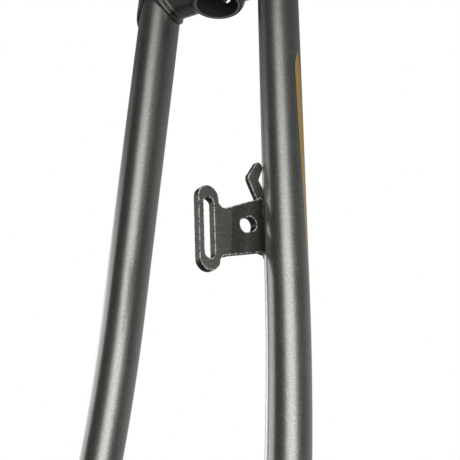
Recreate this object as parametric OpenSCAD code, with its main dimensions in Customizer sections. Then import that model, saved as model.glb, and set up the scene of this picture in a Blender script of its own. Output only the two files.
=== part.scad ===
// Brazed steel bicycle fork with a slotted bracket and a cable hook on its left blade.
// Millimetres. +Z runs up the steering axis, +X points forward and +Y to the rider's left.
// The origin is the centre of the crown race seat, where the headset's lower race comes to rest.

/* [Steerer tube] */
// Outside diameter of the steerer tube
steerer_od = 25.4; // [24:0.1:26]
// Wall thickness of the steerer tube
steerer_wall = 1.6; // [1.2:0.1:2.5]
// Length of the steerer tube above the crown race seat
steerer_len = 165; // [60:1:300]
// Chamfer on the open top edge of the steerer tube
steerer_chamfer = 0.5; // [0.2:0.1:0.7]
// Depth of the step that lets the tube's turned lower end rest on the crown
spigot_step = 0.25; // [0.2:0.01:0.5]

/* [Crown] */
// Depth of the crown from the race seat down to its lower face
crown_depth = 30; // [27:0.5:34]
// Diameter of the boss that holds the steerer tube
crown_boss_d = 30.4; // [30:0.2:34]
// Diameter of the seat for the crown race
race_seat_d = 26.4; // [26.2:0.1:28]
// Height of the race seat
race_seat_h = 5; // [3:0.5:8]
// Wall of the two blade sockets
socket_wall = 1.8; // [1.4:0.1:2.6]
// Length of blade held inside its socket
socket_depth = 15; // [11:0.5:16]
// Radius of the rounded lower edge of each socket, seen from the side
lug_r = 14.3; // [14.1:0.1:15]
// Tilt of that edge, which makes the outer side of each socket longer
lug_tilt = 5; // [0:0.5:8]
// Radius of the dome that closes each socket, seen from the front
dome_r = 12.2; // [12:0.1:12.8]
// Radius of the round shoulder between the boss and the socket
shoulder_r = 12; // [10:0.2:12.6]
// Angle at which each shoulder falls towards its socket
shoulder_fall = 3; // [0:0.5:5]

/* [Brake bolt] */
// Diameter of the brake bolt hole
brake_hole_d = 6.4; // [5:0.1:8]
// Height of the brake bolt hole above the lower face of the crown
brake_hole_rise = 11.7; // [9:0.1:15]
// Diameter of the flat brake faces at the front and rear of the crown
brake_face_d = 15; // [12:0.5:18]
// Distance from the steering axis to each brake face
brake_face_x = 16.2; // [15.6:0.1:18]

/* [Blades] */
// Distance between the two blade centre lines at the crown
blade_spacing = 73.3; // [70:0.1:80]
// Angle at which each blade splays outwards
blade_splay = 2.83; // [2:0.01:3.2]
// Fore and aft width of the oval blade at the crown
blade_depth = 28; // [26:0.5:30]
// Side to side width of the oval blade
blade_width = 20; // [18:0.5:22]
// Fore and aft width of the blade where the tip bend begins
blade_low_depth = 22.1; // [20.5:0.1:24]
// Diameter of the round tip of the blade
blade_tip_d = 15.5; // [13:0.5:18]
// Wall thickness of the blade tube
blade_wall = 1.2; // [0.8:0.1:1.8]
// Length of blade below the crown before its taper begins
taper_start = 29; // [15:1:60]
// Length of blade below the crown that stays straight
straight_len = 172; // [120:1:200]
// Radius of the long gentle bend
gentle_bend_r = 667; // [500:1:900]
// Length of blade below the crown where the tighter tip bend begins
tip_bend_start = 292; // [270:1:310]
// Radius of the tip bend
tip_bend_r = 185; // [150:1:400]
// Length of blade from the crown to its tip
blade_len = 346; // [335:1:365]

/* [Dropouts] */
// Clear width between the two dropouts
hub_width = 100; // [96:0.5:104]
// Thickness of each dropout plate
dropout_t = 5; // [4:0.5:7]
// Distance from the blade's tip to the axle, along the blade
axle_drop = 27; // [24:0.5:34]
// Width of the axle slot
axle_slot_w = 9.4; // [9:0.1:10.5]
// Radius of the plate round the axle
dropout_r = 12.5; // [11.5:0.5:15]
// Radius of the raised round seat for the hub
hub_seat_r = 10.5; // [9:0.1:10.6]
// Height of that seat above the plate
hub_seat_rise = 0.4; // [0.2:0.1:1]
// Angle of the open slot, forward of straight down
slot_lean = 12; // [0:1:25]
// Diameter of the mudguard eyelet hole
eyelet_d = 5.2; // [4:0.1:6]
// Width of metal round the eyelet hole
eyelet_rim = 3.2; // [2.5:0.1:4]
// Distance from the axle to the eyelet
eyelet_rise = 19; // [17:0.5:22]
// Angle of the eyelet behind the upward line
eyelet_lean = 62; // [58:1:75]
// Length of the plug inside the blade's tip
plug_len = 14; // [8:0.5:20]

/* [Slotted bracket] */
// Thickness of the bracket's plate
bracket_t = 4.1; // [3:0.1:5]
// Distance along the left blade from the crown to the bracket
bracket_at = 142; // [110:1:165]
// Direction of the strap seen from above, turned inwards from straight ahead
strap_turn = 18; // [10:1:30]
// Further inward turn of the slotted wing at its bend
wing_turn = 10; // [0:1:25]
// Length of the strap from the blade to the bend
strap_len = 20.6; // [16:0.2:28]
// Height of the strap at the blade
strap_root_h = 28; // [24:0.5:34]
// Height of the strap at the bend
strap_bend_h = 24.3; // [20:0.1:28]
// Angle at which the strap falls towards the front
strap_fall = 24.3; // [10:0.1:30]
// Distance from the bend to the middle of the wing
wing_reach = 12.3; // [11.5:0.1:18]
// Height of the wing's middle above the middle line of the strap
wing_rise = 3.8; // [0:0.1:5]
// Width of the wing
wing_w = 11.2; // [9.5:0.1:16]
// Overall height of the wing
wing_h = 40.6; // [36:0.1:48]
// Lean of the wing and its slot, top forward
wing_lean = 5; // [0:0.5:10]
// Width of the wing's slot
slot_w = 5.4; // [4.4:0.1:6.4]
// Overall length of the wing's slot
slot_h = 29.2; // [24:0.1:32]
// Radius of the corners between the strap and the wing
wing_fillet = 3; // [1:0.1:3.4]
// Height of the short slotted hole in the strap
hole_h = 6.8; // [5:0.1:9]
// Overall length of the short slotted hole in the strap
hole_len = 11.2; // [9.2:0.1:12.5]
// Angle at which the hole falls towards the front
hole_tilt = 27; // [0:1:35]
// Distance from the blade to the middle of the strap's hole
hole_at = 10.1; // [9:0.1:13]
// Height of the hole's middle above the middle line of the strap
hole_rise = 1.4; // [0:0.1:2]

/* [Cable hook] */
// Thickness of the hook's plate
hook_t = 2.4; // [2:0.1:4]
// Width of the hook where it turns back, at its elbow
hook_w = 6.6; // [5:0.1:8]
// Width of the hook's rounded tip
hook_tip_w = 5; // [4:0.1:6]
// Width of the hook's round foot
hook_foot_w = 7.6; // [6:0.1:9]
// Distance from the blade to the middle of the elbow
hook_out = 7.9; // [6.5:0.1:9]
// Height of the elbow above the middle of the strap's root
hook_rise = 20.9; // [19:0.1:24]
// Distance from the middle of the elbow to the middle of the tip
hook_arm = 8.6; // [7:0.1:10]
// Angle at which the upper arm leans back towards the blade
hook_lean = 26; // [15:1:35]

/* [Fits] */
// Clearance all round a brazed joint
braze_gap = 0.05; // [0.03:0.01:0.12]
// Clearance between the bracket and the blade that it is welded to
weld_gap = 0.1; // [0.05:0.01:0.2]

/* [Hidden] */
$fn = 96;
eps = 0.01;
tuck = 0.01;
reach = 60;
paint = [0.30, 0.31, 0.29];

steerer_r = steerer_od / 2;
steerer_bore_r = steerer_r - steerer_wall;
spigot_r = steerer_r - spigot_step;
crown_low = -crown_depth;
brake_z = crown_low + brake_hole_rise;
race_chamfer = 0.4;

// The blades' lengths are measured from a line just above the crown's lower face
blade_datum_rise = 1.2;
blade_z0 = crown_low + blade_datum_rise;

// Places of the middles of the shoulder, of the socket's round edges and of its dome
shoulder_rise = 13.5;
lug_rise = 10.2;
dome_rise = 11.5;
shoulder_mid_z = crown_low + shoulder_rise;
lug_mid_z = crown_low + lug_rise;
lug_shift = 1;
lug_apex = -2.6;
lug_top_r = 15.9;
lug_top_rise = 2;
dome_mid_z = crown_low + dome_rise;
shoulder_len = blade_spacing / 2 - blade_width / 4;
boss_flare = 0.8;
boss_chamfer = 1.4;
boss_chamfer_h = 2.5;
blade_sides = 36;
form_spans = 4;
oval_sides = 72;
end_sides = 16;
tip_r = blade_tip_d / 2;
half_depth = blade_depth / 2;
half_width = blade_width / 2;
low_half_depth = blade_low_depth / 2;

// Distance from one piece of a profile to the next, along the straight and the bent stretches
bend_rings = 9;
tip_rings = 7;
straight_stations = [-socket_depth, 0, taper_start, (taper_start + straight_len) / 2];
gentle_stations = [for (i = [0 : bend_rings - 1])
    straight_len + (tip_bend_start - straight_len) * i / bend_rings];
tip_stations = [for (i = [0 : tip_rings])
    tip_bend_start + (blade_len - tip_bend_start) * i / tip_rings];
blade_stations = concat(straight_stations, gentle_stations, tip_stations);

// Angle that the blade has turned forward at a length s, and how far it has gone down and forward
gentle_turn = (tip_bend_start - straight_len) / gentle_bend_r * 180 / PI;
function turn_at(s) =
    s < straight_len ? 0
    : s < tip_bend_start ? (s - straight_len) / gentle_bend_r * 180 / PI
    : gentle_turn + (s - tip_bend_start) / tip_bend_r * 180 / PI;
function down_at(s) =
    s < straight_len ? s
    : s < tip_bend_start ? straight_len + gentle_bend_r * sin(turn_at(s))
    : straight_len + gentle_bend_r * sin(gentle_turn)
      + tip_bend_r * (sin(turn_at(s)) - sin(gentle_turn));
function forward_at(s) =
    s < straight_len ? 0
    : s < tip_bend_start ? gentle_bend_r * (1 - cos(turn_at(s)))
    : gentle_bend_r * (1 - cos(gentle_turn))
      + tip_bend_r * (cos(gentle_turn) - cos(turn_at(s)));

// Half sizes of the oval section at a length s
function share(s, from, to) = min(1, max(0, (s - from) / (to - from)));
function half_depth_at(s) = half_depth
    + (low_half_depth - half_depth) * share(s, taper_start, tip_bend_start)
    + (tip_r - low_half_depth) * share(s, tip_bend_start, blade_len);
function half_width_at(s) = half_width
    + (tip_r - half_width) * share(s, tip_bend_start, blade_len);

// Place of the left blade's centre line, and its forward, sideways and downward directions
function blade_point(s) = [
    forward_at(s),
    blade_spacing / 2 + down_at(s) * sin(blade_splay),
    blade_z0 - down_at(s) * cos(blade_splay)];
function blade_forward(s) = [
    cos(turn_at(s)), -sin(blade_splay) * sin(turn_at(s)), cos(blade_splay) * sin(turn_at(s))];
function blade_side() = [0, cos(blade_splay), sin(blade_splay)];
function blade_down(s) = [
    sin(turn_at(s)), sin(blade_splay) * cos(turn_at(s)), -cos(blade_splay) * cos(turn_at(s))];
function blade_ring(s, grow) = [for (i = [0 : blade_sides - 1])
    let (a = 360 * i / blade_sides)
    blade_point(s)
    + blade_forward(s) * (half_depth_at(s) + grow) * cos(a)
    + blade_side() * (half_width_at(s) + grow) * sin(a)];

// Faces between rings that follow each other in a list of points
function skin(rings, first, inward) = [for (r = [0 : rings - 2], i = [0 : blade_sides - 1])
    let (a = first + r * blade_sides + i,
         b = first + r * blade_sides + (i + 1) % blade_sides)
    inward ? [a, a + blade_sides, b + blade_sides, b] : [a, b, b + blade_sides, a + blade_sides]];
function end_ring(outer, inner, flip) = [for (i = [0 : blade_sides - 1])
    let (j = (i + 1) % blade_sides)
    flip ? [outer + i, outer + j, inner + j, inner + i] : [outer + j, outer + i, inner + i, inner + j]];

// Point of the left blade's surface whose outward direction, seen from above, is the angle a
function blade_surface(s, a) =
    let (d = half_depth_at(s), w = half_width_at(s), k = norm([d * cos(a), w * sin(a)]))
    blade_point(s) + [d * d * cos(a) / k, w * w * sin(a) / k, 0];

blade_tip = blade_point(blade_len);
tip_turn = turn_at(blade_len);
axle = blade_tip + blade_down(blade_len) * axle_drop;

// The plate's narrower ends, the jaws beside its slot, and the collar against the blade's tip
neck_inset = 1.6;
eyelet_root_inset = 2;
jaw_w = 6;
jaw_drop = 1.5;
collar_len = 4;
collar_cone = 5;

// The bracket leaves the blade where the blade's surface faces forward and inwards
strap_root_angle = -58.5;
strap_root = blade_surface(bracket_at, strap_root_angle);
strap_mid_z = 1.3;
wing_lap = 2;
form_reach = 30;
strap_bury = 4.2;
strap_top_slope = (strap_bend_h / 2 - strap_len * tan(strap_fall) - strap_root_h / 2) / strap_len;
strap_low_slope = (strap_root_h / 2 - strap_len * tan(strap_fall) - strap_bend_h / 2) / strap_len;
wing_half = (wing_h - wing_w) / 2;
slot_half = (slot_h - slot_w) / 2;
wing_mid = [wing_reach, strap_mid_z - (strap_len + wing_reach) * tan(strap_fall) + wing_rise];
wing_axis = [sin(wing_lean), cos(wing_lean)];
wing_side = [cos(wing_lean), -sin(wing_lean)];

// Middle of the hook's foot, elbow and tip, on the strap's plane
hook_foot_out = 1.6;
hook_foot_rise = 13.2;
hook_foot = [hook_foot_out, strap_mid_z + hook_foot_rise];
hook_elbow = [hook_out, strap_mid_z + hook_rise];
hook_tip = hook_elbow + hook_arm * [-sin(hook_lean), cos(hook_lean)];
hook_arm_inset = 0.1;

function strap_top(x) = strap_mid_z + strap_root_h / 2 + x * strap_top_slope;
function strap_low(x) = strap_mid_z - strap_root_h / 2 + x * strap_low_slope;

// Where the line p + t u meets the line q + t v
function crossing(p, u, q, v) = p + u * ((q - p) * [v[1], -v[0]]) / (u * [v[1], -v[0]]);

// Outline of an ellipse from its two half sizes
module oval_2d(a, b) {
    polygon([for (i = [0 : oval_sides - 1]) let (t = 360 * i / oval_sides) [a * cos(t), b * sin(t)]]);
}

// Outline of two circles and straight sides, which run just inside the lines that touch both
module link_2d(p, r, q, s) {
    gap = norm(q - p);
    aim = atan2(q[1] - p[1], q[0] - p[0]);
    off = acos((r - s) / gap);
    translate(p) circle(r);
    translate(q) circle(s);
    polygon([for (c = [[p, r, off], [q, s, off], [q, s, -off], [p, r, -off]])
        c[0] + (c[1] - tuck) * [cos(aim + c[2]), sin(aim + c[2])]]);
}

// The same outline as one polygon, with short sides round its two ends
module arm_2d(p, r, q, s) {
    aim = atan2(q[1] - p[1], q[0] - p[0]);
    off = acos((r - s) / norm(q - p));
    function at(c, k, t) = c + k * [cos(aim + t), sin(aim + t)];
    polygon(concat(
        [for (i = [0 : end_sides]) at(p, r, off + (360 - 2 * off) * i / end_sides)],
        [for (i = [0 : end_sides]) at(q, s, off * (2 * i / end_sides - 1))]));
}

// Rounded inside corner at c, between edges that leave it along the unit directions u and v
module inside_corner_2d(c, u, v, r) {
    half = acos(u * v) / 2;
    run = r / tan(half);
    middle = c + (u + v) / norm(u + v) * r / sin(half);
    inner = c - (u + v) / norm(u + v) * r / 2;
    difference() {
        polygon([inner, c + u * run, middle, c + v * run]);
        translate(middle) circle(r + tuck);
    }
}

// Moves a shape from the blade's own axes, with its downward direction along -Z, to its place
module on_left_blade() {
    translate([0, blade_spacing / 2, blade_z0]) rotate([blade_splay, 0, 0]) children();
}

module both_sides() {
    children();
    mirror([0, 1, 0]) children();
}

// Solid of the left blade's outer form between two lengths, made larger by grow
module blade_form(from, to, grow) {
    stations = [for (i = [0 : form_spans]) from + (to - from) * i / form_spans];
    points = [for (s = stations) each blade_ring(s, grow)];
    top = [for (i = [0 : blade_sides - 1]) blade_sides - 1 - i];
    low = [for (i = [0 : blade_sides - 1]) form_spans * blade_sides + i];
    polyhedron(points, concat(skin(form_spans + 1, 0, true), [top], [low]));
}

// Hollow tapered tube of the left blade, bent forward towards its tip
module blade_tube() {
    rings = len(blade_stations);
    inner = rings * blade_sides;
    last = (rings - 1) * blade_sides;
    points = concat(
        [for (s = blade_stations) each blade_ring(s, 0)],
        [for (s = blade_stations) each blade_ring(s, -blade_wall)]);
    polyhedron(points, concat(
        skin(rings, 0, true), skin(rings, inner, false),
        end_ring(0, inner, true), end_ring(last, inner + last, false)));
}

module steerer_tube() {
    color(paint)
    difference() {
        union() {
            translate([0, 0, crown_low])
                cylinder(r = spigot_r, h = crown_depth + 2 * race_seat_h);
            translate([0, 0, race_seat_h + braze_gap])
                cylinder(r = steerer_r, h = steerer_len - steerer_chamfer - race_seat_h - braze_gap);
            translate([0, 0, steerer_len - steerer_chamfer])
                cylinder(r1 = steerer_r, r2 = steerer_r - steerer_chamfer, h = steerer_chamfer);
        }
        translate([0, 0, crown_low - 1])
            cylinder(r = steerer_bore_r, h = crown_depth + steerer_len + 2);
        translate([-reach / 2, 0, brake_z]) rotate([0, 90, 0])
            cylinder(d = brake_hole_d, h = reach);
    }
}

// Side outline of a socket, with the middle of its rounded lower edge near the origin
module lug_2d() {
    translate([lug_shift, 0]) circle(lug_r);
    intersection() {
        translate([0, lug_top_rise]) circle(lug_top_r);
        translate([-reach / 2, lug_apex]) square(reach);
    }
}

// Socket for the left blade, domed on top and rounded along its lower edge
module socket_lug() {
    intersection() {
        on_left_blade() translate([0, 0, -reach / 2]) linear_extrude(reach)
            oval_2d(half_depth + socket_wall, half_width + socket_wall);
        translate([0, blade_spacing / 2, lug_mid_z]) rotate([90 - lug_tilt, 0, 0])
            translate([0, 0, -reach / 2]) linear_extrude(reach) lug_2d();
        translate([-reach / 2, blade_spacing / 2, dome_mid_z]) rotate([90, 0, 90]) linear_extrude(reach) {
            circle(dome_r);
            translate([-dome_r - socket_wall, -reach]) square([2 * (dome_r + socket_wall), reach]);
        }
    }
}

module fork_crown() {
    color(paint)
    difference() {
        union() {
            translate([0, 0, crown_low])
                cylinder(d1 = crown_boss_d - 2 * boss_chamfer, d2 = crown_boss_d, h = boss_chamfer_h);
            translate([0, 0, crown_low + boss_chamfer_h])
                cylinder(d = crown_boss_d, h = crown_depth - boss_chamfer_h - 4 * boss_flare);
            translate([0, 0, -4 * boss_flare])
                cylinder(d1 = crown_boss_d, d2 = crown_boss_d + 2 * boss_flare, h = 2 * boss_flare);
            translate([0, 0, -2 * boss_flare]) cylinder(d = crown_boss_d + 2 * boss_flare, h = 2 * boss_flare);
            translate([0, 0, -eps]) cylinder(d = race_seat_d, h = race_seat_h - race_chamfer + eps);
            translate([0, 0, race_seat_h - race_chamfer])
                cylinder(d1 = race_seat_d, d2 = race_seat_d - race_chamfer, h = race_chamfer);
            translate([-brake_face_x, 0, brake_z]) rotate([0, 90, 0])
                cylinder(d = brake_face_d, h = 2 * brake_face_x);
            both_sides() {
                socket_lug();
                translate([0, 0, shoulder_mid_z]) rotate([-90 - shoulder_fall, 0, 0])
                    cylinder(r = shoulder_r, h = shoulder_len);
            }
        }
        translate([0, 0, crown_low - 1])
            cylinder(r = spigot_r + braze_gap, h = crown_depth + race_seat_h + 2);
        translate([-reach / 2, 0, brake_z]) rotate([0, 90, 0])
            cylinder(d = brake_hole_d, h = reach);
        both_sides()
            on_left_blade() translate([0, 0, -reach]) linear_extrude(reach + socket_depth + braze_gap)
            oval_2d(half_depth + braze_gap, half_width + braze_gap);
    }
}

module blade_left() {
    color(paint) blade_tube();
}

module blade_right() {
    color(paint) mirror([0, 1, 0]) blade_tube();
}

// Outline of the open axle slot
module axle_slot_2d() {
    circle(d = axle_slot_w);
    rotate(slot_lean) translate([tuck - axle_slot_w / 2, -reach])
        square([axle_slot_w - 2 * tuck, reach]);
}

// Flat outline of the dropout, with the axle at its origin, forward along +x and up along +y
module dropout_2d() {
    neck = [blade_tip[0] - axle[0], blade_tip[2] - axle[2]];
    eyelet = eyelet_rise * [-sin(eyelet_lean), cos(eyelet_lean)];
    difference() {
        union() {
            link_2d([0, 0], dropout_r, neck, tip_r - neck_inset);
            link_2d([0, 0], dropout_r - eyelet_root_inset, eyelet, eyelet_d / 2 + eyelet_rim);
            rotate(slot_lean) translate([-axle_slot_w / 2 - jaw_w, -dropout_r - jaw_drop])
                square([axle_slot_w + 2 * jaw_w, dropout_r]);
        }
        axle_slot_2d();
        translate(eyelet) circle(d = eyelet_d);
    }
}

module at_blade_tip() {
    translate(blade_tip) rotate([blade_splay, 0, 0]) rotate([0, -tip_turn, 0]) children();
}

module left_dropout_form() {
    difference() {
        translate([axle[0], hub_width / 2 + hub_seat_rise + dropout_t, axle[2]]) rotate([90, 0, 0]) {
            linear_extrude(dropout_t) dropout_2d();
            translate([0, 0, dropout_t - hub_seat_rise]) linear_extrude(2 * hub_seat_rise)
            difference() {
                circle(hub_seat_r);
                axle_slot_2d();
            }
        }
        at_blade_tip() translate([-reach / 2, -reach / 2, -collar_len / 2]) cube(reach);
    }
    at_blade_tip() {
        translate([0, 0, -collar_len]) cylinder(r = tip_r, h = collar_len - weld_gap);
        translate([0, 0, -collar_len - collar_cone])
            cylinder(r1 = dropout_t, r2 = tip_r, h = collar_cone);
        translate([0, 0, -collar_len])
            cylinder(r = tip_r - blade_wall - weld_gap, h = collar_len + plug_len);
    }
}

module dropout_left() {
    color(paint) left_dropout_form();
}

module dropout_right() {
    color(paint) mirror([0, 1, 0]) left_dropout_form();
}

// Stands a flat outline on edge: its x axis leaves the blade and its y axis points up
module on_strap_plane(thickness) {
    translate(strap_root) rotate([90, 0, -strap_turn]) linear_extrude(thickness) children();
}

module strap_2d() {
    difference() {
        polygon([
            [-strap_bury, strap_top(0)], [0, strap_top(0)], [strap_len, strap_top(strap_len)],
            [strap_len, strap_low(strap_len)], [0, strap_low(0)], [-strap_bury, strap_low(0)]]);
        translate([hole_at, strap_mid_z - hole_at * tan(strap_fall) + hole_rise]) rotate(-hole_tilt)
            link_2d([(hole_h - hole_len) / 2, 0], hole_h / 2, [(hole_len - hole_h) / 2, 0], hole_h / 2);
    }
}

// The wing's outline starts just behind the bend, where x is 0
module wing_2d() {
    bend_top = [-wing_lap, strap_top(strap_len) - wing_lap * strap_top_slope - tuck];
    bend_low = [-wing_lap, strap_low(strap_len) - wing_lap * strap_low_slope + tuck];
    back_edge = wing_mid - wing_side * wing_w / 2;
    top_dir = [1, strap_top_slope] / norm([1, strap_top_slope]);
    low_dir = [1, strap_low_slope] / norm([1, strap_low_slope]);
    top_corner = crossing(bend_top, top_dir, back_edge, wing_axis);
    low_corner = crossing(bend_low, low_dir, back_edge, wing_axis);
    difference() {
        union() {
            polygon([bend_top, top_corner, wing_mid, low_corner, bend_low]);
            link_2d(wing_mid - wing_axis * wing_half, wing_w / 2,
                    wing_mid + wing_axis * wing_half, wing_w / 2);
            inside_corner_2d(top_corner, -top_dir, wing_axis, wing_fillet);
            inside_corner_2d(low_corner, -low_dir, -wing_axis, wing_fillet);
        }
        link_2d(wing_mid - wing_axis * slot_half, slot_w / 2,
                wing_mid + wing_axis * slot_half, slot_w / 2);
    }
}

module slotted_bracket() {
    color(paint)
    difference() {
        union() {
            on_strap_plane(bracket_t) strap_2d();
            translate(strap_root) rotate([0, 0, -strap_turn]) translate([strap_len, 0, 0])
            intersection() {
                rotate([90, 0, -wing_turn]) linear_extrude(bracket_t) wing_2d();
                translate([0, -reach / 2, -reach]) cube(2 * reach);
            }
        }
        blade_form(bracket_at - form_reach, bracket_at + form_reach, weld_gap);
    }
}

module cable_hook() {
    color(paint)
    difference() {
        on_strap_plane(hook_t)
        difference() {
            union() {
                arm_2d(hook_foot, hook_foot_w / 2, hook_elbow, hook_w / 2);
                arm_2d(hook_elbow, hook_w / 2 - hook_arm_inset, hook_tip, hook_tip_w / 2);
            }
            polygon([
                [-strap_bury, strap_top(0)], [0, strap_top(0)], [strap_len, strap_top(strap_len)],
                [strap_len, 0], [-strap_bury, 0]]);
        }
        blade_form(bracket_at - hook_rise - form_reach, bracket_at + form_reach, weld_gap);
    }
}

steerer_tube();
fork_crown();
blade_left();
blade_right();
dropout_left();
dropout_right();
slotted_bracket();
cable_hook();
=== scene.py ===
import math
import bpy
import bmesh
from mathutils import Matrix, Quaternion, Vector
from mathutils.kdtree import KDTree


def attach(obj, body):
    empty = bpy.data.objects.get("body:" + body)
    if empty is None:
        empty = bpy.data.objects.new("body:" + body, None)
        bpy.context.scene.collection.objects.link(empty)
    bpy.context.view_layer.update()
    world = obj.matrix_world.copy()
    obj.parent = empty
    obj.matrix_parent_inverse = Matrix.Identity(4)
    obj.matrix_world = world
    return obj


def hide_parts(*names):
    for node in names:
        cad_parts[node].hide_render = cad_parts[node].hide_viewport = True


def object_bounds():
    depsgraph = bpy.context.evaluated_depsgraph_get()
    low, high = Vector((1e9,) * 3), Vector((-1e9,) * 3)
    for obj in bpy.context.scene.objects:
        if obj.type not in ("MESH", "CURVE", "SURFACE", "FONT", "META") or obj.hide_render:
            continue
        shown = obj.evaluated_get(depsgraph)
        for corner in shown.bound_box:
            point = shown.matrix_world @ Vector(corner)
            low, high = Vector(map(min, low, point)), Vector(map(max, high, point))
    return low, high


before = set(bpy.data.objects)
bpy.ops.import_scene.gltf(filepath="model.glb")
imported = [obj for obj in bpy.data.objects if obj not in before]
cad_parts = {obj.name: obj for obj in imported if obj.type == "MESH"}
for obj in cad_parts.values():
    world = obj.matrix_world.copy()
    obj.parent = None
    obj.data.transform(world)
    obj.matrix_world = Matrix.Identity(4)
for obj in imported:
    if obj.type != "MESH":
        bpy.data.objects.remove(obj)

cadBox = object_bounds()
mm = 0.001
print("packed fork loaded")


class Wire:
    # one socket that takes part in sums; the other side of a sum may be a number
    def __init__(self, finish, socket):
        self.finish = finish
        self.socket = socket

    def step(self, operation, first, second=None):
        return self.finish.node("ShaderNodeMath", {0: first, 1: second}, operation=operation)

    def __add__(self, other):
        return self.step("ADD", self, other)

    def __radd__(self, other):
        return self.step("ADD", other, self)

    def __sub__(self, other):
        return self.step("SUBTRACT", self, other)

    def __rsub__(self, other):
        return self.step("SUBTRACT", other, self)

    def __mul__(self, other):
        return self.step("MULTIPLY", self, other)

    def __rmul__(self, other):
        return self.step("MULTIPLY", other, self)

    def __truediv__(self, other):
        return self.step("DIVIDE", self, other)

    def __pow__(self, other):
        return self.step("POWER", self, other)

    def size(self):
        return self.step("ABSOLUTE", self)

    def ramp(self, low, high, start=0.0, end=1.0):
        # smooth change from start to end while the value goes from low to high, either way round
        return self.finish.node("ShaderNodeMapRange", {"Value": self, "From Min": low, "From Max": high,
                                "To Min": start, "To Max": end}, interpolation_type="SMOOTHSTEP")


class Finish:
    # a material, world or lamp whose nodes are made one by one
    def __init__(self, name, data=None):
        self.data = data or bpy.data.materials.new(name)
        self.data.use_nodes = True
        self.tree = self.data.node_tree
        self.tree.nodes.clear()

    def node(self, kind, inputs=None, output=0, **settings):
        made = self.tree.nodes.new(kind)
        for key, value in settings.items():
            setattr(made, key, value)
        for key, value in (inputs or {}).items():
            if isinstance(value, Wire):
                self.tree.links.new(value.socket, made.inputs[key])
            elif value is not None:
                made.inputs[key].default_value = value
        return Wire(self, made.outputs[output]) if made.outputs else None

    def blend(self, factor, first, second):
        return self.node("ShaderNodeMix", {0: factor, 6: first, 7: second}, output=2, data_type="RGBA")

    def place(self):
        # object coordinates, in metres
        return self.node("ShaderNodeTexCoord", output=3)

    def parts(self, vector):
        made = self.node("ShaderNodeSeparateXYZ", {0: vector}).socket.node
        return [Wire(self, out) for out in made.outputs]

    def carried(self, name):
        # a number that each point of the mesh carries
        return self.node("ShaderNodeAttribute", output=2, attribute_name=name)

    def noise(self, scale, detail=2.0, roughness=0.5, vector=None):
        return self.node("ShaderNodeTexNoise", {"Vector": vector or self.place(), "Scale": scale,
                         "Detail": detail, "Roughness": roughness})

    def bump(self, height, strength, distance):
        return self.node("ShaderNodeBump", {"Height": height, "Strength": strength, "Distance": distance})

    def finishWith(self, **inputs):
        sockets = {name.replace("_", " "): value for name, value in inputs.items()}
        self.node("ShaderNodeOutputMaterial", {"Surface": self.node("ShaderNodeBsdfPrincipled", sockets)})
        return self.data


def heading(azimuth, climb):
    # unit vector, from angles in radians
    return Vector((math.cos(azimuth) * math.cos(climb), math.sin(azimuth) * math.cos(climb),
                   math.sin(climb)))


photoCamera = {
    "place": (0.39636821, 0.22618181, -0.34919729),                # metres
    "azimuth": 0.49219, "climb": -0.38721, "roll": 0.04002,        # radians
    "focal": 987.74246, "frameWidth": 460,                         # pixels
    "sensor": 36.0, "nearest": 0.01, "farthest": 20,
}


def placeCamera():
    cam = bpy.data.cameras.new("photoCamera")
    holder = bpy.data.objects.new("photoCamera", cam)
    bpy.context.scene.collection.objects.link(holder)
    bpy.context.scene.camera = holder
    azimuth, roll = photoCamera["azimuth"], photoCamera["roll"]
    back = heading(azimuth, photoCamera["climb"])
    right = Vector((-math.sin(azimuth), math.cos(azimuth), 0))
    up = back.cross(right)
    turnedRight = math.cos(roll) * right + math.sin(roll) * up
    turnedUp = math.cos(roll) * up - math.sin(roll) * right
    turned = Matrix((turnedRight, turnedUp, back)).transposed().to_4x4()
    holder.matrix_world = Matrix.Translation(photoCamera["place"]) @ turned
    cam.sensor_width = photoCamera["sensor"]
    cam.lens = photoCamera["focal"] * photoCamera["sensor"] / photoCamera["frameWidth"]
    cam.clip_start = photoCamera["nearest"]
    cam.clip_end = photoCamera["farthest"]


placeCamera()
print("camera placed")

bladePaint = {
    "dark": (0.165, 0.170, 0.155, 1), "light": (0.36, 0.37, 0.345, 1),
    "flakeScale": 2000, "grainScale": 1300, "roughness": 0.36,
    "coat": 1.0, "coatRoughness": 0.05,
}
# the crown's copy of the charcoal paint, darkened as painted shade
shadedCastPaint = {
    "dark": (0.042, 0.044, 0.038, 1), "light": (0.125, 0.13, 0.117, 1),
    "flakeScale": 2000, "grainScale": 1300, "roughness": 0.30,
    "coat": 1.0, "coatRoughness": 0.04,
}
# the bracket's copy of the charcoal paint, darkened as painted shade
shadedPlatePaint = {
    "dark": (0.070, 0.072, 0.064, 1), "light": (0.20, 0.206, 0.19, 1),
    "flakeScale": 1700, "grainScale": 1500, "roughness": 0.42,
    "coat": 0.35, "coatRoughness": 0.12,
    "rim": (0.44, 0.43, 0.38, 1), "rimRough": 0.3,                 # worn edges, lightened also as a painted highlight
    "rimWidth": (0.7, 0.35),                                       # mm from the edge: no wear, full wear
    "rimGrain": 900, "rimSpeck": (0.42, 0.58),
    "cutAt": (0.45, 0.8), "cutShade": 0.62, "cutDull": 0.8,        # painted shade on the cut sides, and a duller coat there
    "paintedShadingByBlade": 0.85, "paintedShadingAt": (0.016, 0.034),                   # painted shade by the blade: brightness there, and metres
}
# the hook takes painted light by the blade instead, over the same darkened plate colours
shadedLitHookPaint = dict(shadedPlatePaint, paintedShadingByBlade=1.5)
flakeLook = {
    "metal": 0.9, "base": 0.28, "flake": 0.5, "flakePower": 3, "mottle": 0.6, "cloud": 0.25,
    "cloudScale": 60, "mottleRough": 0.12, "cloudRough": 0.05, "bump": 0.10, "bumpHeight": 0.0002,
}


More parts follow.
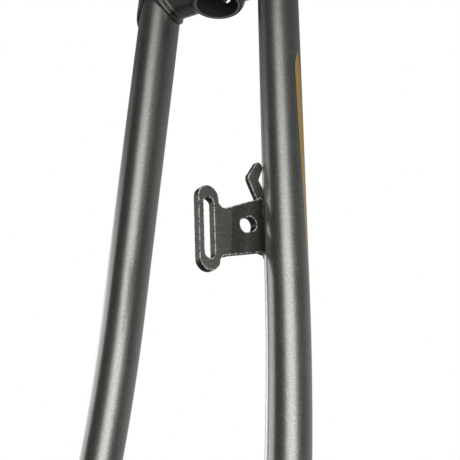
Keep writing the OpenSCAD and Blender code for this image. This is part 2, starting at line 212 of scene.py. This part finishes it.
def paintLayers(finish, look):
    # charcoal base with fine bright flake; gives colour, roughness and normal
    cells = finish.node("ShaderNodeTexVoronoi", {"Vector": finish.place(), "Scale": look["flakeScale"]},
                        output=1)
    flake = finish.node("ShaderNodeSeparateColor", {0: cells}) ** flakeLook["flakePower"]
    mottle = finish.noise(look["grainScale"], detail=3.0, roughness=0.6)
    uneven = mottle - 0.5
    cloudy = finish.noise(flakeLook["cloudScale"]) - 0.5
    tone = flakeLook["base"] + flakeLook["flake"] * flake + flakeLook["mottle"] * uneven
    colour = finish.blend(tone + flakeLook["cloud"] * cloudy, look["dark"], look["light"])
    roughness = look["roughness"] + flakeLook["mottleRough"] * uneven + flakeLook["cloudRough"] * cloudy
    normal = finish.bump(mottle, flakeLook["bump"], flakeLook["bumpHeight"])
    return colour, roughness, normal


def makePaint(name, look):
    finish = Finish(name)
    colour, roughness, normal = paintLayers(finish, look)
    return finish.finishWith(Base_Color=colour, Roughness=roughness, Metallic=flakeLook["metal"],
                             Normal=normal, Coat_Weight=look["coat"], Coat_Roughness=look["coatRoughness"])


def makePlatePaint(name, look):
    # worn paint and a painted highlight show as a bright, grainy line along the plate's rounded edges
    finish = Finish(name)
    colour, roughness, normal = paintLayers(finish, look)
    grain = finish.noise(look["rimGrain"], detail=1.0).ramp(*look["rimSpeck"])
    wearAndHighlight = finish.carried("fromRim").ramp(*look["rimWidth"]) * grain
    cutSide = finish.carried("cutSide").ramp(*look["cutAt"])
    x = finish.parts(finish.place())[0]
    # painted shading: darker by the blade on the bracket, lighter by the blade on the hook, and painted shade
    # on the cut sides
    shade = x.ramp(*look["paintedShadingAt"], look["paintedShadingByBlade"], 1.0) * (1 - look["cutShade"] * cutSide)
    colour = finish.node("ShaderNodeVectorMath", {0: colour, "Scale": shade}, operation="SCALE")
    colour = finish.blend(wearAndHighlight, colour, look["rim"])
    return finish.finishWith(Base_Color=colour, Roughness=roughness + look["rimRough"] * wearAndHighlight,
                             Metallic=flakeLook["metal"] - flakeLook["metal"] * wearAndHighlight, Normal=normal,
                             Coat_Weight=look["coat"] * (1 - look["cutDull"] * cutSide),
                             Coat_Roughness=look["coatRoughness"])


lineLook = {
    "gold": (0.46, 0.29, 0.035, 1), "edge": (0.020, 0.028, 0.060, 1),
    "start": 0.042, "belly": 0.056, "end": 0.215,                  # metres along the blade
    "widest": 13.5, "shadow": 3.0,                                 # half widths in degrees round the blade
    "middle": 88.0, "drift": 125.0,                                # degrees, and degrees for each metre
    "soft": 0.3, "shadowSoft": 0.4, "shadowFrom": (0.1, 0.6),      # degrees
    "shadowMatt": 0.7, "goldMetal": 0.15,
}


def makeLinedPaint(name, look, line):
    # the same paint with a tapered gold line down the blade's outer side
    finish = Finish(name)
    colour, roughness, normal = paintLayers(finish, look)
    run, turn = finish.carried("bladeRun"), finish.carried("bladeTurn")
    half = line["widest"] * run.ramp(line["start"], line["belly"]) * run.ramp(line["end"], line["belly"])
    off = (turn - line["middle"] - line["drift"] * (run - line["belly"])).size()
    gold = (half - off).ramp(-line["soft"], line["soft"])
    shadow = (half + line["shadow"] - off).ramp(-line["shadowSoft"], line["shadowSoft"])
    shadow = shadow * half.ramp(*line["shadowFrom"])
    colour = finish.blend(shadow, colour, line["edge"])
    colour = finish.blend(gold, colour, line["gold"])
    metal = flakeLook["metal"] - line["shadowMatt"] * shadow + line["goldMetal"] * gold
    return finish.finishWith(Base_Color=colour, Roughness=roughness, Normal=normal, Metallic=metal,
                             Coat_Weight=look["coat"], Coat_Roughness=look["coatRoughness"])


seatLook = {
    "colour": (0.50, 0.50, 0.49, 1), "edge": 0.00015,              # metres each side of the paint's end
    "grain": 4000.0, "rough": 0.08, "grainRough": 0.15,
}


def makeCrownPaint(name, look, seat):
    # paint, with the machined race seat above z = 0 left as bare metal
    finish = Finish(name)
    colour, roughness, normal = paintLayers(finish, look)
    z = finish.parts(finish.place())[2]
    bare = z.ramp(-seat["edge"], seat["edge"])
    turned = finish.noise(seat["grain"], vector=finish.node("ShaderNodeCombineXYZ", {2: z}))
    colour = finish.blend(bare, colour, seat["colour"])
    return finish.finishWith(Base_Color=colour, Normal=normal,
                             Roughness=roughness + bare * (seat["rough"] + seat["grainRough"] * turned),
                             Metallic=flakeLook["metal"] + (1 - flakeLook["metal"]) * bare,
                             Coat_Weight=look["coat"] * (1 - bare), Coat_Roughness=look["coatRoughness"])


steelLook = {
    "dark": (0.38, 0.385, 0.39, 1), "light": (0.52, 0.52, 0.515, 1),
    "inside": (0.045, 0.043, 0.037, 1), "insideAt": (0.0119, 0.0116), "insideMatt": 0.85,
    "streakScale": 1500.0, "stretch": (1.0, 1.0, 0.02),
    "rough": 0.28, "streakRough": 0.18, "insideRough": 0.25, "bump": 0.12, "bumpHeight": 0.0001,
}


def makeSteel(name, look):
    # drawn tube outside, darker and duller inside
    finish = Finish(name)
    x, y, z = finish.parts(finish.place())
    inside = ((x * x + y * y) ** 0.5).ramp(*look["insideAt"])
    drawn = finish.node("ShaderNodeMapping", {"Vector": finish.place(), "Scale": look["stretch"]})
    streaks = finish.noise(look["streakScale"], detail=3.0, vector=drawn)
    tone = finish.blend(streaks, look["dark"], look["light"])
    rough = look["rough"] + look["streakRough"] * streaks + look["insideRough"] * inside
    return finish.finishWith(Base_Color=finish.blend(inside, tone, look["inside"]), Roughness=rough,
                             Metallic=1.0 - look["insideMatt"] * inside,
                             Normal=finish.bump(streaks, look["bump"], look["bumpHeight"]))


paint = makePaint("charcoal flake paint", bladePaint)
platedPaint = makePlatePaint("charcoal flake paint on the bracket", shadedPlatePaint)
hookedPaint = makePlatePaint("charcoal flake paint on the hook", shadedLitHookPaint)
linedPaint = makeLinedPaint("blade paint with a gold line", bladePaint, lineLook)
crownPaint = makeCrownPaint("crown paint", shadedCastPaint, seatLook)
steel = makeSteel("bare steel", steelLook)
print("finishes made")


def addPiece(name, mesh, material, slot, *replaced):
    piece = bpy.data.objects.new(name, mesh)
    bpy.context.scene.collection.objects.link(piece)
    mesh.materials.clear()
    mesh.materials.append(material)
    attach(piece, "root")
    if replaced:
        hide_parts(*replaced)
    return piece


def meshFrom(name, shape):
    mesh = bpy.data.meshes.new(name)
    shape.to_mesh(mesh)
    shape.free()
    return mesh


def axesMatrix(centre, first, second, third):
    # a frame with these three axes at a centre
    return Matrix.Translation(centre) @ Matrix((first, second, third)).transposed().to_4x4()


def extrudeRing(shape, edges):
    # a new ring on top of an open one; gives its edges and its points
    grown = bmesh.ops.extrude_edge_only(shape, edges=edges)["geom"]
    return ([part for part in grown if isinstance(part, bmesh.types.BMEdge)],
            [part for part in grown if isinstance(part, bmesh.types.BMVert)])


blade = {
    # mm, degrees and counts; depth, width, lowDepth and tip are half sizes
    "spacing": 73.3, "splay": 2.83, "topZ": -28.8, "length": 346, "socket": 15,
    "depth": 14.0, "width": 10.0, "lowDepth": 11.05, "tip": 7.75, "taperStart": 29,
    "straight": 172, "gentleR": 667, "bendStart": 292, "bendR": 185,
    "around": 96, "firstRing": -12, "step": 4, "sharpAngle": 40,
}


def bladeFrame(s):
    # centre, forward direction, side direction and half sizes at a length s along the left blade
    splay = math.radians(blade["splay"])
    gentle = (blade["bendStart"] - blade["straight"]) / blade["gentleR"]
    turn, down, forward = 0.0, s, 0.0
    if s > blade["straight"]:
        turn = (min(s, blade["bendStart"]) - blade["straight"]) / blade["gentleR"]
        down = blade["straight"] + blade["gentleR"] * math.sin(turn)
        forward = blade["gentleR"] * (1 - math.cos(turn))
    if s > blade["bendStart"]:
        turn = gentle + (s - blade["bendStart"]) / blade["bendR"]
        down += blade["bendR"] * (math.sin(turn) - math.sin(gentle))
        forward += blade["bendR"] * (math.cos(gentle) - math.cos(turn))
    upper = min(1, max(0, (s - blade["taperStart"]) / (blade["bendStart"] - blade["taperStart"])))
    lower = min(1, max(0, (s - blade["bendStart"]) / (blade["length"] - blade["bendStart"])))
    deep = blade["depth"] + (blade["lowDepth"] - blade["depth"]) * upper
    deep += (blade["tip"] - blade["lowDepth"]) * lower
    wide = blade["width"] + (blade["tip"] - blade["width"]) * lower
    centre = Vector((forward, blade["spacing"] / 2 + down * math.sin(splay),
                     blade["topZ"] - down * math.cos(splay)))
    ahead = Vector((math.cos(turn), -math.sin(splay) * math.sin(turn), math.cos(splay) * math.sin(turn)))
    side = Vector((0, math.cos(splay), math.sin(splay)))
    return centre * mm, ahead, side, deep * mm, wide * mm


def bladeMatrix(s, grow=0.0):
    # places a unit circle as the blade's oval ring at s
    centre, ahead, side, deep, wide = bladeFrame(s)
    oval = Matrix.Diagonal((deep + grow, wide + grow, 1, 1))
    return axesMatrix(centre, ahead, side, ahead.cross(side)) @ oval


def bladePoint(s, angle, grow=0.0):
    turn = math.radians(angle)
    return bladeMatrix(s, grow) @ Vector((math.cos(turn), math.sin(turn), 0))


def makeBlade(name, flip, material):
    # an oval ring is extruded from station to station; each point carries its length and its angle
    shape = bmesh.new()
    run = shape.verts.layers.float.new("bladeRun")
    turn = shape.verts.layers.float.new("bladeTurn")
    ring = bmesh.ops.create_circle(shape, cap_ends=True, radius=1, segments=blade["around"])["verts"]
    for vert in ring:
        angle = math.degrees(math.atan2(vert.co.y, vert.co.x))
        vert[turn] = angle if angle > -90 else angle + 360
    flatRing = {vert: vert.co.copy() for vert in ring}
    stations = [-blade["socket"], *range(blade["firstRing"], blade["length"], blade["step"]), blade["length"]]
    edges = list(shape.edges)
    for count, s in enumerate(stations):
        if count:
            edges, fresh = extrudeRing(shape, edges)
            back = bladeMatrix(stations[count - 1]).inverted()
            flatRing = {vert: back @ vert.co for vert in fresh}
        for vert, flat in flatRing.items():
            vert.co = bladeMatrix(s) @ flat
            vert[run] = s * mm
    bmesh.ops.contextual_create(shape, geom=edges)
    if flip:
        bmesh.ops.scale(shape, vec=(1, -1, 1), verts=shape.verts)
    bmesh.ops.recalc_face_normals(shape, faces=shape.faces)
    mesh = meshFrom(name, shape)
    mesh.shade_smooth()
    mesh.set_sharp_from_angle(angle=math.radians(blade["sharpAngle"]))
    return addPiece(name, mesh, material, "paint", "blade_right" if flip else "blade_left")


makeBlade("leftBlade", False, linedPaint)
makeBlade("rightBlade", True, linedPaint)
print("blades made")

softNodes = {
    # voxel size in mm, rounds of smoothing, and for a plate with painted shade on its cut sides the way it
    # faces in degrees
    "lugCrown": {"node": "fork_crown", "voxel": 0.45, "rounds": 11, "finish": crownPaint},
    "slottedBracket": {"node": "slotted_bracket", "voxel": 0.25, "rounds": 5, "finish": platedPaint,
                       "facing": 250},
    "cableHook": {"node": "cable_hook", "voxel": 0.2, "rounds": 9, "finish": hookedPaint, "facing": 253},
    "leftDropout": {"node": "dropout_left", "voxel": 0.3, "rounds": 9, "finish": paint},
    "rightDropout": {"node": "dropout_right", "voxel": 0.3, "rounds": 9, "finish": paint},
}
edgeAngle = 50                                                     # degrees between two faces
mergeGap = 2e-6                                                    # metres
softPull = 0.5                                                     # strength of one round of smoothing


def nodeCopy(node):
    # a merged bmesh of a CAD node, which itself is left alone
    shape = bmesh.new()
    shape.from_mesh(bpy.data.objects[node].data)
    bmesh.ops.remove_doubles(shape, verts=shape.verts, dist=mergeGap)
    return shape


def softenedNode(look):
    # a CAD node remade as one fine, even mesh and smoothed, so that its edges come out rounded
    name = look["node"] + "Form"
    holder = bpy.data.objects.new(name, meshFrom(name, nodeCopy(look["node"])))
    bpy.context.scene.collection.objects.link(holder)
    remesh = holder.modifiers.new("even mesh", "REMESH")
    remesh.mode, remesh.voxel_size = "VOXEL", look["voxel"] * mm
    soft = holder.modifiers.new("soft edges", "SMOOTH")
    soft.factor, soft.iterations = softPull, look["rounds"]
    bpy.context.view_layer.update()
    mesh = bpy.data.meshes.new_from_object(holder.evaluated_get(bpy.context.evaluated_depsgraph_get()))
    bpy.data.objects.remove(holder)
    mesh.shade_smooth()
    return mesh


def sharpEdgePoints(look):
    # points a voxel apart along the sharp edges of a CAD node
    shape = nodeCopy(look["node"])
    counts = {edge: int(edge.calc_length() / (look["voxel"] * mm)) + 1 for edge in shape.edges}
    points = KDTree(sum(counts.values()) + len(counts))
    for edge, count in counts.items():
        if edge.calc_face_angle(0) > math.radians(edgeAngle):
            for step in range(count + 1):
                points.insert(edge.verts[0].co.lerp(edge.verts[1].co, step / count), 0)
    points.balance()
    shape.free()
    return points


def markEdgesAndSides(mesh, look):
    # each point knows how far the old edge is in mm, for the worn line with its painted highlight, and how
    # much it lies on the plate's cut side, for painted shade
    rims = sharpEdgePoints(look)
    plate = heading(math.radians(look["facing"]), 0)
    fromRim = mesh.attributes.new("fromRim", "FLOAT", "POINT")
    cutSide = mesh.attributes.new("cutSide", "FLOAT", "POINT")
    for vert in mesh.vertices:
        fromRim.data[vert.index].value = rims.find(vert.co)[2] / mm
        cutSide.data[vert.index].value = 1 - abs(vert.normal.dot(plate))


for name, look in softNodes.items():
    mesh = softenedNode(look)
    if "facing" in look:
        markEdgesAndSides(mesh, look)
    addPiece(name, mesh, look["finish"], "paint", look["node"])
    print(name, len(mesh.polygons), "faces")
bpy.data.objects["steerer_tube"].data.materials[0] = steel
print("crown, bracket, hook and dropouts made")

beadLook = {
    "sides": 12, "wide": 1.25, "high": 0.8,                        # shares of the radius
    "ripple": 0.18, "rippleTurn": 2.4, "drift": 0.06, "driftTurn": 0.9,
    "endSize": 0.35, "endGrowth": 0.4,                             # share at an end, and more per station
}


def beadSize(count):
    # a share of the radius that ripples from station to station
    swell = 1 + beadLook["ripple"] * math.sin(count * beadLook["rippleTurn"])
    return swell + beadLook["drift"] * math.sin(count * beadLook["driftTurn"])


def sweepBead(name, path, normals, radius):
    # a rippled half-sunk bead along a path, thinner at both ends
    shape = bmesh.new()
    ring = bmesh.ops.create_circle(shape, cap_ends=True, radius=1, segments=beadLook["sides"])["verts"]
    flats = [vert.co.copy() for vert in ring]
    edges = list(shape.edges)
    last = len(path) - 1
    for count, spot in enumerate(path):
        ahead = (path[min(count + 1, last)] - path[max(count - 1, 0)]).normalized()
        side = ahead.cross(normals[count]).normalized()
        ends = min(1, beadLook["endSize"] + beadLook["endGrowth"] * min(count, last - count))
        size = beadSize(count) * (radius * ends)
        place = axesMatrix(spot, side, side.cross(ahead), ahead)
        if count:
            edges, fresh = extrudeRing(shape, edges)
            ring = [min(fresh, key=lambda vert: (vert.co - old.co).length) for old in ring]
        for vert, flat in zip(ring, flats):
            vert.co = place @ Vector((flat.x * size * beadLook["wide"], flat.y * size * beadLook["high"], 0))
    bmesh.ops.contextual_create(shape, geom=edges)
    bmesh.ops.recalc_face_normals(shape, faces=shape.faces)
    mesh = meshFrom(name, shape)
    mesh.shade_smooth()
    return addPiece(name, mesh, paint, "paint")


bracket = {
    "at": 142, "rootAngle": -58.5, "turn": 18, "thick": 4.1,       # mm and degrees
    "searchFrom": 3, "searchStep": 0.1, "searchCount": 120,
}
sideWelds = {
    "outerWeld": {"off": 0.0, "radius": 1.4, "lean": -1},
    "innerWeld": {"off": bracket["thick"], "radius": 1.3, "lean": 1},
}
endWelds = {"topWeld": 15.3, "lowWeld": -12.7}                     # mm above the root's middle
# heights, shift and radius in mm; tilt is a share of the outward direction
weldRun = {"low": -13, "high": 16, "shift": 0.3, "tilt": 0.6, "endSteps": 6, "endRadius": 1.3}


def rootPoint(rise, off):
    # point on the blade's surface beside the strap, off mm from its outer face, at a height on the root
    turn = math.radians(bracket["turn"])
    outward = Vector((-math.sin(turn), -math.cos(turn), 0))
    along = Vector((math.cos(turn), -math.sin(turn), 0))
    root = bladePoint(bracket["at"], bracket["rootAngle"])
    start = Vector((root.x, root.y, root.z + rise * mm)) + outward * off * mm
    centre, ahead, side, deep, wide = bladeFrame(bracket["at"] - rise)
    # walks back along the strap until it meets the oval
    for tick in range(bracket["searchCount"]):
        spot = start + along * (bracket["searchFrom"] - tick * bracket["searchStep"]) * mm
        local = spot - centre
        if (local.dot(ahead) / deep) ** 2 + (local.dot(side) / wide) ** 2 <= 1:
            break
    normal = (ahead * local.dot(ahead) / deep ** 2 + side * local.dot(side) / wide ** 2).normalized()
    return spot, normal, outward


def makeSideWelds():
    for name, weld in sideWelds.items():
        path, normals = [], []
        for rise in range(weldRun["low"], weldRun["high"]):
            spot, normal, outward = rootPoint(rise, weld["off"])
            path.append(spot + outward * weldRun["shift"] * weld["lean"] * mm)
            normals.append((normal + outward * weld["lean"] * weldRun["tilt"]).normalized())
        sweepBead(name, path, normals, weld["radius"] * mm)


def makeEndWelds():
    for name, rise in endWelds.items():
        path, normals = [], []
        for step in range(weldRun["endSteps"] + 1):
            spot, normal, outward = rootPoint(rise, bracket["thick"] * step / weldRun["endSteps"])
            path.append(spot)
            normals.append(normal)
        sweepBead(name, path, normals, weldRun["endRadius"] * mm)


tipBraze = {
    "inset": 0.35, "radius": 0.45, "degrees": 12, "end": 376,      # mm and degrees, past a full turn
    "sides": {"leftTipBraze": 1, "rightTipBraze": -1},
}


def makeTipBraze():
    # a thin fillet of filler where each dropout's collar meets the blade's tip
    centre = bladeFrame(blade["length"])[0]
    for name, side in tipBraze["sides"].items():
        path, normals = [], []
        for angle in range(0, tipBraze["end"], tipBraze["degrees"]):
            spot = bladePoint(blade["length"], angle, -tipBraze["inset"] * mm)
            out = (spot - centre).normalized()
            path.append(Vector((spot.x, spot.y * side, spot.z)))
            normals.append(Vector((out.x, out.y * side, out.z)))
        sweepBead(name, path, normals, tipBraze["radius"] * mm)


makeSideWelds()
makeEndWelds()
makeTipBraze()
print("welds made")

studio = {
    "floorDrop": 0.0005, "floorSize": 60, "floorWhite": 0.8, "floorColour": (0.80, 0.80, 0.79, 1),
    "room": 0.04,                                                  # brightness of the dim room
    "overhead": {"low": 0.75, "high": 0.95, "bright": 0.35},
    "tiny": 0.0001,                                                # keeps the poles from dividing by zero
}
lobes = {
    # low and high: cosine from the middle at which a lobe begins and is full; top: where it fades upwards
    "backdrop": {"azimuth": -88, "low": 0.74, "high": 0.80, "bright": 1.2, "top": (0.50, 0.20),
                 "mirrored": 1},
    "rear": {"azimuth": 195, "low": 0.0, "high": 0.9, "bright": 0.36, "top": (0.80, 0.20), "mirrored": 0},
}
lamps = {
    "softLamp": {"aim": (0, 0, -0.15), "azimuth": 60, "climb": 72, "away": 1.8, "size": (0.9, 0.9),
                 "bright": 3.1, "roll": 0},
    "keyPanel": {"aim": (-0.020, 0.0175, 0), "azimuth": 49, "climb": 0, "away": 0.42, "size": (0.60, 1.10),
                 "bright": 3.2, "roll": 15},
}
keyFade = {"sides": 0.42, "top": (0.92, 0.30)}                     # shares of the panel


def makeFloorFinish():
    # pale for the camera, and still takes the object's shadow
    pale = Finish("pale floor")
    seen = Wire(pale, pale.node("ShaderNodeLightPath").socket.node.outputs["Is Camera Ray"])
    dull = pale.node("ShaderNodeBsdfDiffuse", {0: studio["floorColour"]})
    white = pale.node("ShaderNodeEmission", {0: (1, 1, 1, 1), 1: 1.0})
    both = pale.node("ShaderNodeMixShader", {0: seen * studio["floorWhite"], 1: dull, 2: white})
    pale.node("ShaderNodeOutputMaterial", {0: both})
    return pale.data


def makeFloor():
    shape = bmesh.new()
    bmesh.ops.create_grid(shape, x_segments=1, y_segments=1, size=studio["floorSize"] / 2)
    mesh = meshFrom("floor", shape)
    mesh.transform(Matrix.Translation((0, 0, cadBox[0].z - studio["floorDrop"])))
    mesh.materials.append(makeFloorFinish())
    ground = bpy.data.objects.new("floor", mesh)
    bpy.context.scene.collection.objects.link(ground)
    return ground


def makeLamp(name, look):
    # a panel of a stated brightness, whatever its size
    width, height = look["size"]
    lamp = bpy.data.lights.new(name, "AREA")
    lamp.shape, lamp.size, lamp.size_y = "RECTANGLE", width, height
    lamp.energy = look["bright"] * math.pi * width * height
    holder = bpy.data.objects.new(name, lamp)
    bpy.context.scene.collection.objects.link(holder)
    away = heading(math.radians(look["azimuth"]), math.radians(look["climb"]))
    holder.location = Vector(look["aim"]) + away * look["away"]
    roll = Quaternion((0, 0, 1), math.radians(look["roll"]))
    holder.rotation_euler = (away.to_track_quat("Z", "Y") @ roll).to_euler()
    holder.visible_camera = False
    return holder


def spareFloor(holder, floor):
    # the near panel lights the object only
    spared = bpy.data.collections.new("sparedByKey")
    spared.objects.link(floor)
    holder.light_linking.receiver_collection = spared
    spared.collection_objects[0].light_linking.link_state = "EXCLUDE"


def fadePanel(holder):
    # dims the panel towards its two sides and its top
    panel = Finish(holder.name, holder.data)
    place = panel.node("ShaderNodeNewGeometry").socket.node.outputs["Parametric"]
    across, up = panel.parts(Wire(panel, place))[:2]
    fade = across.ramp(0.0, keyFade["sides"]) * across.ramp(1.0, 1 - keyFade["sides"])
    fade = fade * up.ramp(*keyFade["top"])
    panel.node("ShaderNodeOutputLight", {0: panel.node("ShaderNodeEmission", {1: fade})})


def makeWorld():
    # a dim room with a white backdrop beside the object and a softly lit rear
    sky = Finish("studio", bpy.data.worlds.new("studio"))
    x, y, z = sky.parts(sky.node("ShaderNodeTexCoord"))
    level = (x * x + y * y) ** 0.5 + studio["tiny"]
    overhead = studio["overhead"]
    glow = studio["room"] + z.ramp(overhead["low"], overhead["high"], 0.0, overhead["bright"])
    rays = sky.node("ShaderNodeLightPath").socket.node
    seen, glossy = Wire(sky, rays.outputs["Is Camera Ray"]), Wire(sky, rays.outputs["Is Glossy Ray"])
    for look in lobes.values():
        azimuth = math.radians(look["azimuth"])
        facing = (x * math.cos(azimuth) + y * math.sin(azimuth)) / level
        lobe = facing.ramp(look["low"], look["high"]) * z.ramp(*look["top"])
        glow = glow + lobe * (look["bright"] + glossy * look["mirrored"])
    # a strength of 1 is white: for the camera everywhere, for glossy rays where the backdrop stands
    glow = seen + (1 - seen) * glow
    grey = sky.node("ShaderNodeCombineColor", {0: glow, 1: glow, 2: glow})
    sky.node("ShaderNodeOutputWorld", {0: sky.node("ShaderNodeBackground", {0: grey})})
    bpy.context.scene.world = sky.data


floor = makeFloor()
holders = {name: makeLamp(name, look) for name, look in lamps.items()}
spareFloor(holders["keyPanel"], floor)
fadePanel(holders["keyPanel"])
makeWorld()
bpy.context.scene.view_settings.view_transform = "Standard"
print("studio made")
